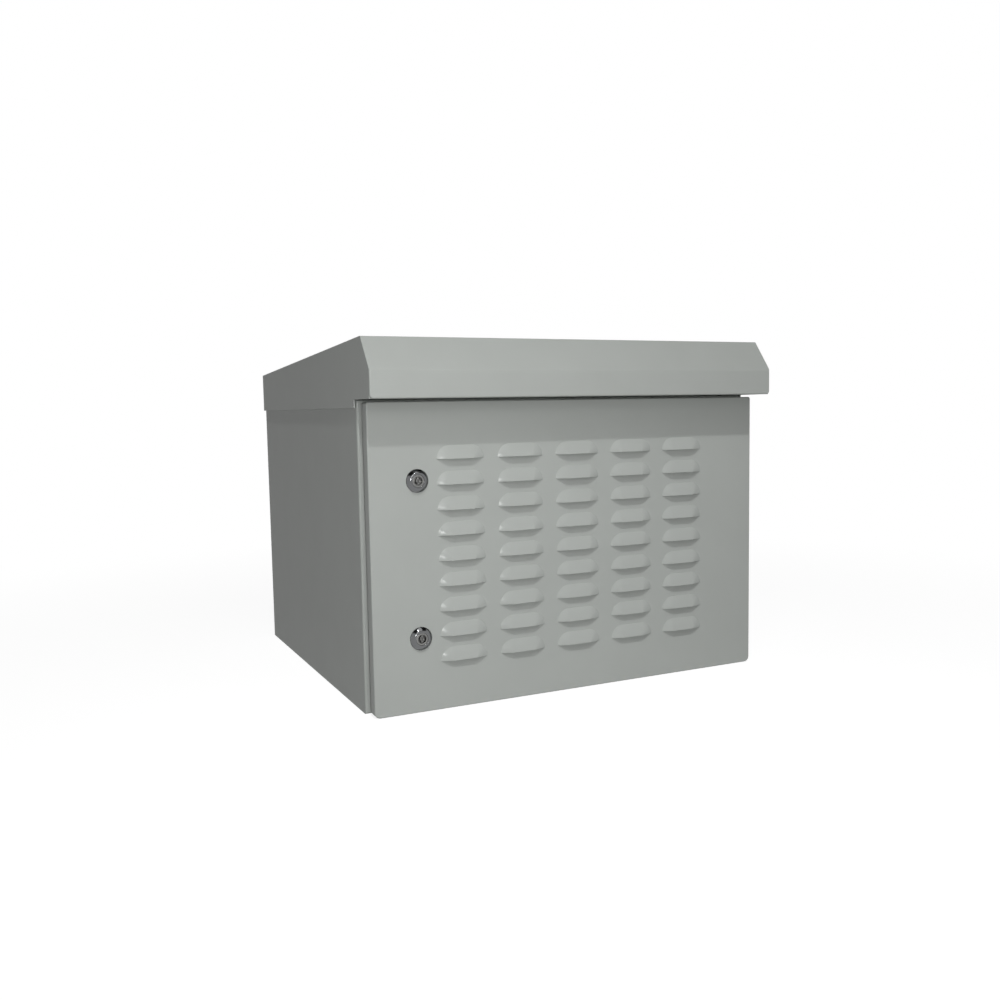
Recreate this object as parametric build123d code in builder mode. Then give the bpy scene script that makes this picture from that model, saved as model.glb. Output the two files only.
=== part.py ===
from build123d import *
from math import atan, cos, sqrt
import os

# Outdoor equipment cabinet of folded and welded sheet steel, in millimetres.
# +X is to the right seen from the front, +Y runs to the rear, +Z is up, and the door faces -Y.
# The origin is the middle of the ground outline, so z = 0 is the underside of the floor.

os.makedirs("parts", exist_ok=True)

# Body
cabinet_width = 600.0
cabinet_height = 403.0
body_depth = 517.5
sheet = 1.5
bend_radius = 2.5

# Rain gutter that runs round the door opening, and the lip that stands in it
gutter_width = 20.5
lip_gap_to_gasket = 0.3

# Door
door_side_reveal = 3.0
door_bottom_reveal = 0.6
door_height = 399.4
door_depth = 15.0
door_gap = 14.2
door_top_corner_radius = 3.0
door_bottom_corner_radius = 8.0
door_edge_radius = 1.8
gasket_width = 12.0
gasket_thickness = 7.9

# Louvres
louvre_columns = 5
louvre_rows = 9
louvre_side_margin = 91.4
louvre_gap = 19.8
louvre_rise = 17.5
louvre_projection = 6.0
louvre_section_radius = 76.0
louvre_pitch_z = 32.75
louvre_lowest_lip = 64.2

# Rain hood
hood_overhang = 35.3
hood_side_clearance = 1.5
hood_rear_clearance = 0.5
hood_lap = 10.0
hood_door_gap = 3.3
fascia_height = 34.1
ridge_rise = 76.7
ridge_setback = 32.1
hood_fall = 27.3
hood_bend_radius = 2.0
fascia_return = 14.0
fascia_corner_radius = 5.0
fascia_edge_radius = 1.8
hood_support_flange = 24.0
hood_support_inset = 20.0
hood_support_front = 60.0
hood_support_rear = 90.0

# Metric fasteners: shank radius, head or nut width across flats, head height
m4_radius, m4_flats, m4_head = 2.0, 7.0, 2.8
m5_radius, m5_flats, m5_head = 2.5, 8.0, 3.5
m6_radius, m6_flats, m6_head = 3.0, 10.0, 4.0
m8_radius, m8_flats, m8_head = 4.0, 13.0, 5.3
hole_clearance = 0.2
thread_clearance = 0.05

# Quarter-turn locks
lock_from_edge = 64.5
lock_low_height = 97.5
lock_high_height = 300.0
bezel_radius = 15.0
bezel_top_radius = 10.5
bezel_rim = 1.2
bezel_projection = 5.0
bezel_edge_break = 0.6
barrel_radius = 11.0
insert_radius = 8.0
insert_recess = 0.5
insert_head = 12.0
insert_shaft_radius = 6.0
insert_square = 7.0
key_recess_radius = 5.6
key_recess_depth = 7.0
key_pin_radius = 2.4
key_bit_length = 9.0
key_bit_width = 1.8
key_pin_setback = 1.0
lock_nut_flats = 27.0
lock_nut_height = 5.0
running_clearance = 0.05
cam_thickness = 3.0
cam_reach = 57.0
cam_hub_radius = 12.0
cam_tip_radius = 8.0
cam_clearance = 0.5

# Concealed hinges
hinge_inset = 10.0
hinge_pin_radius = 2.0
knuckle_radius = 4.0
hinge_height = 50.0
hinge_leaf = 2.0
hinge_low_height = 60.0
hinge_high_height = 290.0
hinge_foot = 13.0
hinge_door_foot = 9.0
knuckle_gap = 0.2
pin_head_radius = 3.2
pin_head_height = 1.6

# 19-inch equipment rails
rack_units = 8
rack_unit = 44.45
rack_opening = 450.8
rack_hole_pitch = 465.1
rack_hole = 9.5
rack_hole_offsets = (6.35, 22.225, 38.1)
rail_outer_width = 500.0
rail_sheet = 2.0
rail_side = 30.0
rail_front_setback = 52.5
rail_spacing = 365.0

# Channels that carry the rails
channel_height = 30.0
channel_foot = 12.0
channel_low_height = 70.0
channel_high_height = 333.0
channel_front_setback = 45.0
channel_rear_setback = 60.0

# Rear wall
rear_flange = 15.0
wall_hole_radius = 4.5
wall_hole_spacing_x = 500.0
wall_hole_spacing_z = 300.0

# Cable entry in the floor
entry_width = 300.0
entry_depth = 120.0
entry_from_rear = 150.0
entry_corner_radius = 8.0
gland_plate_margin = 18.0
gland_plate_sheet = 2.0
gland_gasket_sheet = 2.0
grommet_count = 3
grommet_pitch = 85.0
grommet_bore = 12.0
grommet_neck = 15.0
grommet_rim = 19.0
grommet_rim_thickness = 2.4

# Filter behind the louvres
filter_side_margin = 1.0
filter_end_margin = 6.0
filter_thickness = 9.6
filter_flange = 13.0
filter_sheet = 1.0
filter_window_border = 10.0
filter_bar = 8.0
filter_window_columns = 7
filter_window_rows = 5
filter_fit = 0.4
filter_stud_columns = 3
filter_stud_length = 9.0

# Earthing studs
earth_stud_length = 20.0
body_stud_from_side = 100.0
body_stud_from_flange = 107.5
door_stud_from_edge = 45.0
door_stud_height = 40.0
earth_washer_radius = 8.0
earth_washer_thickness = 1.6

# Planes and lines that several pieces share
half_width = cabinet_width / 2
total_depth = hood_overhang + door_depth + door_gap + body_depth + hood_rear_clearance + sheet
hood_rear_y = total_depth / 2
hood_front_y = -total_depth / 2
rear_y = hood_rear_y - sheet - hood_rear_clearance
flange_y = rear_y - body_depth
door_back_y = flange_y - door_gap
door_front_y = door_back_y - door_depth
door_inner_y = door_front_y + sheet
gasket_back_y = door_inner_y + gasket_thickness
lip_y = gasket_back_y + lip_gap_to_gasket

door_width = cabinet_width - 2 * door_side_reveal
door_mid_z = door_bottom_reveal + door_height / 2
louvre_field_width = door_width - 2 * louvre_side_margin
louvre_length = (louvre_field_width - (louvre_columns - 1) * louvre_gap) / louvre_columns
louvre_pitch_x = louvre_length + louvre_gap

lock_x = -door_width / 2 + lock_from_edge
cam_front_y = flange_y + sheet + cam_clearance
housing_rear_y = cam_front_y - cam_clearance

hinge_x = half_width - hinge_inset
hinge_y = door_back_y

hood_width = cabinet_width + 2 * (hood_side_clearance + sheet)
fascia_bottom_z = door_bottom_reveal + door_height + hood_door_gap
fold_z = fascia_bottom_z + fascia_height
ridge_z = fascia_bottom_z + ridge_rise
ridge_y = hood_front_y + ridge_setback
hood_rear_z = ridge_z - hood_fall
hood_bottom_z = cabinet_height - hood_lap
hood_slope = (hood_rear_z - ridge_z) / (hood_rear_y - ridge_y)

floor_top_z = sheet


# Helpers
def fold_line(*points, side=Side.LEFT, thickness=sheet, radius=bend_radius):
    """Outline of a sheet folded along the points, with its thickness on the given side."""
    FilletPolyline(*points, radius=radius)
    offset(amount=thickness, side=side)


def hood_inner_z(y):
    """Height of the inside of the hood's long slope at a depth."""
    return ridge_z + hood_slope * (y - ridge_y) - sheet / cos(atan(hood_slope))


def hexagon(flats):
    """Hexagon of a nut or bolt head in the current sketch, by its width across flats."""
    RegularPolygon(radius=flats / 2, side_count=6, major_radius=False)


def finish(piece, name):
    """Name a finished piece and write it to its own file."""
    piece.part.label = name
    export_step(piece.part, f"parts/{name}.step")


# The four corners of the body are mitred along planes that face the side panels
mitre_low_left = Plane(origin=(-half_width, 0, 0), z_dir=(-1, 0, 1))
mitre_high_left = Plane(origin=(-half_width, 0, cabinet_height), z_dir=(-1, 0, -1))
mitre_low_right = Plane(origin=(half_width, 0, 0), z_dir=(1, 0, 1))
mitre_high_right = Plane(origin=(half_width, 0, cabinet_height), z_dir=(1, 0, -1))

# Left side panel: wall, gutter flange and lip, folded from one sheet
with BuildPart() as left_side_panel:
    with BuildSketch(Plane.XY):
        with BuildLine():
            fold_line(
                (-half_width, rear_y),
                (-half_width, flange_y),
                (-half_width + gutter_width, flange_y),
                (-half_width + gutter_width, lip_y),
            )
        make_face()
    extrude(amount=cabinet_height)
    split(bisect_by=mitre_low_left, keep=Keep.TOP)
    split(bisect_by=mitre_high_left, keep=Keep.TOP)
finish(left_side_panel, "left_side_panel")

# Right side panel
with BuildPart() as right_side_panel:
    with BuildSketch(Plane.XY):
        with BuildLine():
            fold_line(
                (half_width, rear_y),
                (half_width, flange_y),
                (half_width - gutter_width, flange_y),
                (half_width - gutter_width, lip_y),
                side=Side.RIGHT,
            )
        make_face()
    extrude(amount=cabinet_height)
    split(bisect_by=mitre_low_right, keep=Keep.TOP)
    split(bisect_by=mitre_high_right, keep=Keep.TOP)
finish(right_side_panel, "right_side_panel")

# Cable entry: places that the floor, the gasket, the plate and its screws share
entry_y = rear_y - entry_from_rear
gland_plate_width = entry_width + 2 * gland_plate_margin
gland_plate_depth = entry_depth + 2 * gland_plate_margin
gland_screw_x = (entry_width + gland_plate_margin) / 2
gland_screw_y = (entry_depth + gland_plate_margin) / 2
gland_gasket_top_z = floor_top_z + gland_gasket_sheet
gland_plate_top_z = gland_gasket_top_z + gland_plate_sheet
gland_screw_places = [
    (x, entry_y + y) for x in (-gland_screw_x, 0, gland_screw_x) for y in (-gland_screw_y, gland_screw_y)
]
grommet_xs = [(i - (grommet_count - 1) / 2) * grommet_pitch for i in range(grommet_count)]
grommet_places = [(x, entry_y) for x in grommet_xs]

# Floor panel with the cable cut-out
with BuildPart() as floor_panel:
    with BuildSketch(Plane.YZ.offset(-half_width)):
        with BuildLine():
            fold_line(
                (rear_y, 0),
                (flange_y, 0),
                (flange_y, gutter_width),
                (lip_y, gutter_width),
                side=Side.RIGHT,
            )
        make_face()
    extrude(amount=cabinet_width)
    split(bisect_by=mitre_low_left, keep=Keep.BOTTOM)
    split(bisect_by=mitre_low_right, keep=Keep.BOTTOM)
    with BuildSketch(Plane.XY):
        with Locations((0, entry_y)):
            RectangleRounded(entry_width, entry_depth, entry_corner_radius)
        with Locations(*gland_screw_places):
            Circle(m5_radius + hole_clearance)
        with Locations((-half_width + body_stud_from_side, flange_y + body_stud_from_flange)):
            Circle(m8_radius)
    extrude(amount=sheet, mode=Mode.SUBTRACT)
finish(floor_panel, "floor_panel")

# Hood supports: where they stand on the top panel, and where their bolts pass
support_front_y = flange_y + hood_support_front
support_rear_y = rear_y - hood_support_rear
support_length = cabinet_width - 2 * hood_support_inset
hood_bolt_x = support_length / 2 - 3 * hood_support_inset
hood_bolts = [
    (x, y + hood_support_flange / 2 + sheet / 2)
    for x in (-hood_bolt_x, hood_bolt_x)
    for y in (support_front_y, support_rear_y)
]

# Top panel under the hood
with BuildPart() as top_panel:
    with BuildSketch(Plane.YZ.offset(-half_width)):
        with BuildLine():
            fold_line(
                (rear_y, cabinet_height),
                (flange_y, cabinet_height),
                (flange_y, cabinet_height - gutter_width),
                (lip_y, cabinet_height - gutter_width),
            )
        make_face()
    extrude(amount=cabinet_width)
    split(bisect_by=mitre_high_left, keep=Keep.BOTTOM)
    split(bisect_by=mitre_high_right, keep=Keep.BOTTOM)
    with BuildSketch(Plane.XY.offset(cabinet_height)):
        with Locations(*hood_bolts):
            Circle(m8_radius + hole_clearance)
    extrude(amount=-sheet, mode=Mode.SUBTRACT)
finish(top_panel, "top_panel")

# Rear panel: a shallow pan welded inside the folded walls, with four wall-fixing holes
with BuildPart() as rear_panel:
    with BuildSketch(Plane.XZ.offset(-rear_y)):
        with Locations((0, cabinet_height / 2)):
            Rectangle(cabinet_width - 2 * sheet, cabinet_height - 2 * sheet)
    extrude(amount=rear_flange)
    fillet(rear_panel.edges().group_by(Axis.Y)[-1], radius=bend_radius)
    offset(amount=-sheet, openings=rear_panel.faces().sort_by(Axis.Y)[0])
    with BuildSketch(Plane.XZ.offset(-rear_y)):
        with Locations((0, cabinet_height / 2)):
            with GridLocations(wall_hole_spacing_x, wall_hole_spacing_z, 2, 2):
                Circle(wall_hole_radius)
    extrude(amount=sheet, mode=Mode.SUBTRACT)
finish(rear_panel, "rear_panel")

# Rain hood: fascia, steep front chamfer, long fall to the rear, cheeks and rear skirt
with BuildPart() as rain_hood:
    with BuildSketch(Plane.YZ.offset(-hood_width / 2)):
        with BuildLine():
            Polyline(
                (hood_front_y, fascia_bottom_z),
                (hood_front_y, fold_z),
                (ridge_y, ridge_z),
                (hood_rear_y, hood_rear_z),
                (hood_rear_y, hood_bottom_z),
                (flange_y, hood_bottom_z),
                (flange_y, fascia_bottom_z),
                close=True,
            )
        make_face()
    extrude(amount=hood_width)
    front_corners = rain_hood.edges().filter_by(Axis.Z).group_by(Axis.Y)[0]
    long_folds = rain_hood.edges().filter_by(Axis.X).group_by(Axis.Z)[2:]
    fillet(long_folds + [front_corners], radius=hood_bend_radius)
    underside = rain_hood.faces().filter_by(lambda face: face.normal_at().Z < -0.9)
    notch = rain_hood.faces().filter_by(Axis.Y).group_by(Axis.Y)[1]
    offset(amount=-sheet, openings=underside + notch)
    with BuildSketch(Plane.XY.offset(fascia_bottom_z)):
        with Locations((0, hood_front_y + (sheet + fascia_return) / 2)):
            Rectangle(hood_width - 2 * sheet, fascia_return - sheet)
    extrude(amount=sheet)
    with BuildSketch(Plane.XZ.offset(-hood_front_y)):
        with Locations((-hood_width / 2, fascia_bottom_z), (hood_width / 2, fascia_bottom_z)):
            Rectangle(2 * fascia_corner_radius, 2 * fascia_corner_radius)
        arc_x, arc_z = hood_width / 2 - fascia_corner_radius, fascia_bottom_z + fascia_corner_radius
        with Locations((-arc_x, arc_z), (arc_x, arc_z)):
            Circle(fascia_corner_radius, mode=Mode.SUBTRACT)
    extrude(amount=-hood_bend_radius - sheet, mode=Mode.SUBTRACT)
    fascia_edge = rain_hood.edges().filter_by(Axis.X).group_by(Axis.Y)[0].group_by(Axis.Z)[0]
    fillet(fascia_edge, radius=fascia_edge_radius)
finish(rain_hood, "rain_hood")

# Hood supports: C channels welded under the hood, standing on the top panel
for support_y, name in ((support_front_y, "hood_support_front"), (support_rear_y, "hood_support_rear")):
    support_back_y = support_y + hood_support_flange
    with BuildPart() as hood_support:
        with BuildSketch(Plane.YZ.offset(-support_length / 2)):
            with BuildLine():
                fold_line(
                    (support_back_y, cabinet_height),
                    (support_y, cabinet_height),
                    (support_y, hood_inner_z(support_y)),
                    (support_back_y, hood_inner_z(support_back_y)),
                    side=Side.RIGHT,
                )
            make_face()
        extrude(amount=support_length)
        with BuildSketch(Plane.XY.offset(cabinet_height)):
            with Locations(*[(x, y) for x, y in hood_bolts if support_y < y < support_back_y]):
                Circle(m8_radius + hole_clearance)
        extrude(amount=sheet, mode=Mode.SUBTRACT)
    finish(hood_support, name)

# Hood bolts, pushed up through the top panel from inside the cabinet
bolt_head_z = cabinet_height - sheet
bolt_nut_z = cabinet_height + sheet
with BuildPart() as hood_bolt_set:
    with BuildSketch(Plane.XY.offset(bolt_head_z - m8_head)):
        with Locations(*hood_bolts):
            hexagon(m8_flats)
    extrude(amount=m8_head)
    with BuildSketch(Plane.XY.offset(bolt_head_z)):
        with Locations(*hood_bolts):
            Circle(m8_radius)
    extrude(amount=2 * sheet + m8_head + m8_radius)
finish(hood_bolt_set, "hood_bolts")

with BuildPart() as hood_nut_set:
    with BuildSketch(Plane.XY.offset(bolt_nut_z)):
        with Locations(*hood_bolts):
            hexagon(m8_flats)
            Circle(m8_radius + thread_clearance, mode=Mode.SUBTRACT)
    extrude(amount=m8_head)
finish(hood_nut_set, "hood_nuts")

# Cable entry: gasket, gland plate, screws and rubber grommets
with BuildPart() as gland_gasket:
    with BuildSketch(Plane.XY.offset(floor_top_z)):
        with Locations((0, entry_y)):
            RectangleRounded(gland_plate_width, gland_plate_depth, entry_corner_radius)
            RectangleRounded(entry_width, entry_depth, entry_corner_radius, mode=Mode.SUBTRACT)
        with Locations(*gland_screw_places):
            Circle(m5_radius + hole_clearance, mode=Mode.SUBTRACT)
    extrude(amount=gland_gasket_sheet)
finish(gland_gasket, "gland_plate_gasket")

with BuildPart() as gland_plate:
    with BuildSketch(Plane.XY.offset(gland_gasket_top_z)):
        with Locations((0, entry_y)):
            RectangleRounded(gland_plate_width, gland_plate_depth, entry_corner_radius)
        with Locations(*gland_screw_places):
            Circle(m5_radius + hole_clearance, mode=Mode.SUBTRACT)
        with Locations(*grommet_places):
            Circle(grommet_neck + hole_clearance, mode=Mode.SUBTRACT)
    extrude(amount=gland_plate_sheet)
finish(gland_plate, "gland_plate")

with BuildPart() as gland_screw_set:
    with BuildSketch(Plane.XY.offset(gland_plate_top_z)):
        with Locations(*gland_screw_places):
            hexagon(m5_flats)
    extrude(amount=m5_head)
    with BuildSketch(Plane.XY.offset(gland_plate_top_z)):
        with Locations(*gland_screw_places):
            Circle(m5_radius)
    extrude(amount=-(gland_plate_sheet + gland_gasket_sheet + sheet / 2))
finish(gland_screw_set, "gland_plate_screws")

grommet_section = [
    (grommet_bore, gland_gasket_top_z - grommet_rim_thickness),
    (grommet_rim, gland_gasket_top_z - grommet_rim_thickness),
    (grommet_rim, gland_gasket_top_z),
    (grommet_neck, gland_gasket_top_z),
    (grommet_neck, gland_plate_top_z),
    (grommet_rim, gland_plate_top_z),
    (grommet_rim, gland_plate_top_z + grommet_rim_thickness),
    (grommet_bore, gland_plate_top_z + grommet_rim_thickness),
]
with BuildPart() as grommet_set:
    for x in grommet_xs:
        with BuildSketch(Plane(origin=(x, entry_y, 0), x_dir=(1, 0, 0), z_dir=(0, -1, 0))):
            with BuildLine():
                Polyline(*grommet_section, close=True)
            make_face()
        revolve(axis=Axis((x, entry_y, 0), (0, 0, 1)))
finish(grommet_set, "cable_grommets")

# Channels welded to the side panels, which carry the equipment rails
channel_wall_x = half_width - sheet
rail_wall_x = rail_outer_width / 2
channel_web_x = rail_wall_x + sheet
channel_start_y = flange_y + channel_front_setback
channel_length = rear_y - channel_rear_setback - channel_start_y
rail_front_y = flange_y + rail_front_setback
rail_rear_y = rail_front_y + rail_spacing
rail_screw_ys = (rail_front_y + rail_side / 2, rail_rear_y - rail_side / 2)
channel_levels = (("lower", channel_low_height), ("upper", channel_high_height))
channel_sides = (("left", -1, Side.RIGHT), ("right", 1, Side.LEFT))
channel_rise = channel_height / 2
for side_name, sign, fold_side in channel_sides:
    for level_name, level_z in channel_levels:
        with BuildPart() as rail_channel:
            with BuildSketch(Plane.XZ.offset(-channel_start_y)):
                with BuildLine():
                    fold_line(
                        (sign * channel_wall_x, level_z - channel_rise - channel_foot),
                        (sign * channel_wall_x, level_z - channel_rise),
                        (sign * channel_web_x, level_z - channel_rise),
                        (sign * channel_web_x, level_z + channel_rise),
                        (sign * channel_wall_x, level_z + channel_rise),
                        (sign * channel_wall_x, level_z + channel_rise + channel_foot),
                        side=fold_side,
                        radius=bend_radius - sheet,
                    )
                make_face()
            extrude(amount=-channel_length)
            with BuildSketch(Plane.YZ.offset(sign * channel_web_x)):
                with Locations(*[(y, level_z) for y in rail_screw_ys]):
                    Circle(m6_radius + hole_clearance)
            extrude(amount=-sign * sheet, mode=Mode.SUBTRACT)
        finish(rail_channel, f"rail_channel_{level_name}_{side_name}")

# Equipment rails with square cage-nut holes, three to a rack unit
rail_height = rack_units * rack_unit
rail_base_z = cabinet_height / 2 - rail_height / 2
rack_hole_zs = [
    rail_base_z + unit * rack_unit + hole_z for unit in range(rack_units) for hole_z in rack_hole_offsets
]
rail_inner_x = rack_opening / 2
rail_places = (("front", rail_front_y, 1), ("rear", rail_rear_y, -1))
for side_name, sign, _ in channel_sides:
    for place_name, face_y, inward in rail_places:
        with BuildPart() as rack_rail:
            with BuildSketch(Plane.XY.offset(rail_base_z)):
                with BuildLine():
                    fold_line(
                        (sign * rail_inner_x, face_y),
                        (sign * rail_wall_x, face_y),
                        (sign * rail_wall_x, face_y + inward * rail_side),
                        side=Side.LEFT if sign * inward > 0 else Side.RIGHT,
                        thickness=rail_sheet,
                    )
                make_face()
            extrude(amount=rail_height)
            with BuildSketch(Plane.XZ.offset(-face_y)):
                with Locations(*[(sign * rack_hole_pitch / 2, z) for z in rack_hole_zs]):
                    Rectangle(rack_hole, rack_hole)
            extrude(amount=-inward * rail_sheet, mode=Mode.SUBTRACT)
            with BuildSketch(Plane.YZ.offset(sign * rail_wall_x)):
                with Locations(
                    (face_y + inward * rail_side / 2, channel_low_height),
                    (face_y + inward * rail_side / 2, channel_high_height),
                ):
                    Circle(m6_radius + hole_clearance)
            extrude(amount=-sign * rail_sheet, mode=Mode.SUBTRACT)
        finish(rack_rail, f"rack_rail_{place_name}_{side_name}")

# Screws and nuts that hold the rails to the channels
rail_screw_places = [(y, z) for y in rail_screw_ys for z in (channel_low_height, channel_high_height)]
rail_face_x = rail_wall_x - rail_sheet
nut_face_x = channel_web_x
with BuildPart() as rail_screw_set:
    for sign in (-1, 1):
        with BuildSketch(Plane.YZ.offset(sign * (rail_face_x - m6_head))):
            with Locations(*rail_screw_places):
                hexagon(m6_flats)
        extrude(amount=sign * m6_head)
        with BuildSketch(Plane.YZ.offset(sign * rail_face_x)):
            with Locations(*rail_screw_places):
                Circle(m6_radius)
        extrude(amount=sign * (rail_sheet + sheet + m6_head + m6_radius))
finish(rail_screw_set, "rail_screws")

with BuildPart() as rail_nut_set:
    for sign in (-1, 1):
        with BuildSketch(Plane.YZ.offset(sign * nut_face_x)):
            with Locations(*rail_screw_places):
                hexagon(m6_flats)
                Circle(m6_radius + thread_clearance, mode=Mode.SUBTRACT)
        extrude(amount=sign * m6_head)
finish(rail_nut_set, "rail_nuts")

# Earthing stud on the floor, with its washer and nut
body_stud_place = (-half_width + body_stud_from_side, flange_y + body_stud_from_flange)
with BuildPart() as body_earth_stud:
    with BuildSketch(Plane.XY):
        with Locations(body_stud_place):
            Circle(m8_radius)
    extrude(amount=earth_stud_length)
finish(body_earth_stud, "body_earth_stud")

with BuildPart() as body_earth_nut:
    with BuildSketch(Plane.XY.offset(floor_top_z)):
        with Locations(body_stud_place):
            Circle(earth_washer_radius)
            Circle(m8_radius + thread_clearance, mode=Mode.SUBTRACT)
    extrude(amount=earth_washer_thickness)
    with BuildSketch(Plane.XY.offset(floor_top_z + earth_washer_thickness)):
        with Locations(body_stud_place):
            hexagon(m8_flats)
            Circle(m8_radius + thread_clearance, mode=Mode.SUBTRACT)
    extrude(amount=m8_head)
finish(body_earth_nut, "body_earth_nut")

# One louvre, pressed outwards from the door sheet: a sloping middle with round ends.
# Its section is a shallow arc from the lip, where it stands out furthest, up to the sheet.
louvre_chord = sqrt(louvre_rise**2 + louvre_projection**2)
louvre_arc_depth = sqrt(louvre_section_radius**2 - (louvre_chord / 2) ** 2)
louvre_centre_y = door_front_y - louvre_projection / 2 + louvre_arc_depth * louvre_rise / louvre_chord
louvre_centre_z = louvre_rise / 2 - louvre_arc_depth * louvre_projection / louvre_chord
louvre_middle = louvre_length - 2 * louvre_rise


def louvre_form(arc_radius, foot_y):
    """Solid under one louvre: its section turned round both ends and drawn along the middle."""
    nose_y = louvre_centre_y - sqrt(arc_radius**2 - louvre_centre_z**2)
    rise = louvre_centre_z + sqrt(arc_radius**2 - (louvre_centre_y - foot_y) ** 2)
    with BuildPart() as form:
        for end_x, turn in ((-louvre_middle / 2, -90), (louvre_middle / 2, 90)):
            with BuildSketch(Plane.YZ.offset(end_x)) as section:
                with BuildLine():
                    Line((foot_y, 0), (nose_y, 0))
                    RadiusArc((nose_y, 0), (foot_y, rise), arc_radius)
                    Line((foot_y, rise), (foot_y, 0))
                make_face()
            revolve(axis=Axis((end_x, 0, 0), (0, 1, 0)), revolution_arc=turn)
        extrude(section.sketch, amount=-louvre_middle)
    return form.part


louvre_hood = louvre_form(louvre_section_radius, door_front_y)
louvre_void = louvre_form(louvre_section_radius - sheet, door_inner_y)
louvre_places = [
    ((column - (louvre_columns - 1) / 2) * louvre_pitch_x, 0, louvre_lowest_lip + row * louvre_pitch_z)
    for column in range(louvre_columns)
    for row in range(louvre_rows)
]

# Door panel: a pan with pressed louvres and two lock holes
lock_places = (("lower", lock_low_height), ("upper", lock_high_height))
with BuildPart() as door_panel:
    with BuildSketch(Plane.XZ.offset(-door_back_y)):
        with Locations((0, door_mid_z)):
            Rectangle(door_width, door_height)
    extrude(amount=door_depth)
    low_corners, *_, high_corners = door_panel.edges().filter_by(Axis.Y).group_by(Axis.Z)
    fillet(low_corners, radius=door_bottom_corner_radius)
    fillet(high_corners, radius=door_top_corner_radius)
    fillet(door_panel.edges().group_by(Axis.Y)[0], radius=door_edge_radius)
    offset(amount=-sheet, openings=door_panel.faces().sort_by(Axis.Y)[-1])
    with Locations(*louvre_places):
        add(louvre_hood)
        add(louvre_void, mode=Mode.SUBTRACT)
    with BuildSketch(Plane.XZ.offset(-door_front_y)):
        with Locations(*[(lock_x, z) for _, z in lock_places]):
            Circle(barrel_radius + hole_clearance)
    extrude(amount=-sheet, mode=Mode.SUBTRACT)
finish(door_panel, "door_panel")

# Door gasket: a foam strip laid in a rectangle opposite the gutter lip
lip_middle = gutter_width + sheet / 2
gasket_outer_width = cabinet_width - 2 * lip_middle + gasket_width
gasket_outer_height = cabinet_height - 2 * lip_middle + gasket_width
with BuildPart() as door_gasket:
    with BuildSketch(Plane.XZ.offset(-door_inner_y)):
        with Locations((0, cabinet_height / 2)):
            RectangleRounded(gasket_outer_width, gasket_outer_height, gasket_width)
            Rectangle(
                gasket_outer_width - 2 * gasket_width,
                gasket_outer_height - 2 * gasket_width,
                mode=Mode.SUBTRACT,
            )
    extrude(amount=-gasket_thickness)
finish(door_gasket, "door_gasket")

# Filter: a mat behind the louvres, held by a sheet frame on studs welded to the door
louvre_field_height = (louvre_rows - 1) * louvre_pitch_z + louvre_rise
louvre_field_mid_z = louvre_lowest_lip + louvre_field_height / 2
mat_width = louvre_field_width + 2 * filter_side_margin
mat_height = louvre_field_height + 2 * filter_end_margin
tray_width = mat_width + 2 * (filter_fit + filter_sheet)
tray_height = mat_height + 2 * (filter_fit + filter_sheet)
tray_depth = filter_thickness + filter_fit + filter_sheet
frame_height = tray_height + 2 * filter_flange
stud_rise = (tray_height + filter_flange) / 2
stud_pitch_x = (tray_width - filter_flange) / (filter_stud_columns - 1)
filter_stud_places = [
    ((column - (filter_stud_columns - 1) / 2) * stud_pitch_x, louvre_field_mid_z + rise)
    for column in range(filter_stud_columns)
    for rise in (-stud_rise, stud_rise)
]
window_pitch_x = (mat_width - 2 * filter_window_border + filter_bar) / filter_window_columns
window_pitch_z = (mat_height - 2 * filter_window_border + filter_bar) / filter_window_rows
with BuildPart() as filter_mat:
    with BuildSketch(Plane.XZ.offset(-door_inner_y)):
        with Locations((0, louvre_field_mid_z)):
            Rectangle(mat_width, mat_height)
    extrude(amount=-filter_thickness)
finish(filter_mat, "filter_mat")

with BuildPart() as filter_frame:
    with BuildSketch(Plane.XZ.offset(-door_inner_y)):
        with Locations((0, louvre_field_mid_z)):
            Rectangle(tray_width, tray_height)
    extrude(amount=-tray_depth)
    fillet(filter_frame.edges().group_by(Axis.Y)[-1], radius=filter_sheet + filter_fit)
    offset(amount=-filter_sheet, openings=filter_frame.faces().sort_by(Axis.Y)[0])
    with BuildSketch(Plane.XZ.offset(-door_inner_y)):
        with Locations((0, louvre_field_mid_z)):
            Rectangle(tray_width, frame_height)
            Rectangle(tray_width - filter_sheet, tray_height - filter_sheet, mode=Mode.SUBTRACT)
        with Locations(*filter_stud_places):
            Circle(m4_radius + hole_clearance, mode=Mode.SUBTRACT)
    extrude(amount=-filter_sheet)
    with BuildSketch(Plane.XZ.offset(-door_inner_y - tray_depth)):
        with Locations((0, louvre_field_mid_z)):
            with GridLocations(window_pitch_x, window_pitch_z, filter_window_columns, filter_window_rows):
                Rectangle(window_pitch_x - filter_bar, window_pitch_z - filter_bar)
    extrude(amount=-filter_sheet, both=True, mode=Mode.SUBTRACT)
finish(filter_frame, "filter_frame")

with BuildPart() as filter_stud_set:
    with BuildSketch(Plane.XZ.offset(-door_inner_y)):
        with Locations(*filter_stud_places):
            Circle(m4_radius)
    extrude(amount=-filter_stud_length)
finish(filter_stud_set, "filter_studs")

with BuildPart() as filter_nut_set:
    with BuildSketch(Plane.XZ.offset(-door_inner_y - filter_sheet)):
        with Locations(*filter_stud_places):
            hexagon(m4_flats)
            Circle(m4_radius + thread_clearance, mode=Mode.SUBTRACT)
    extrude(amount=-m4_head)
finish(filter_nut_set, "filter_nuts")

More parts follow.
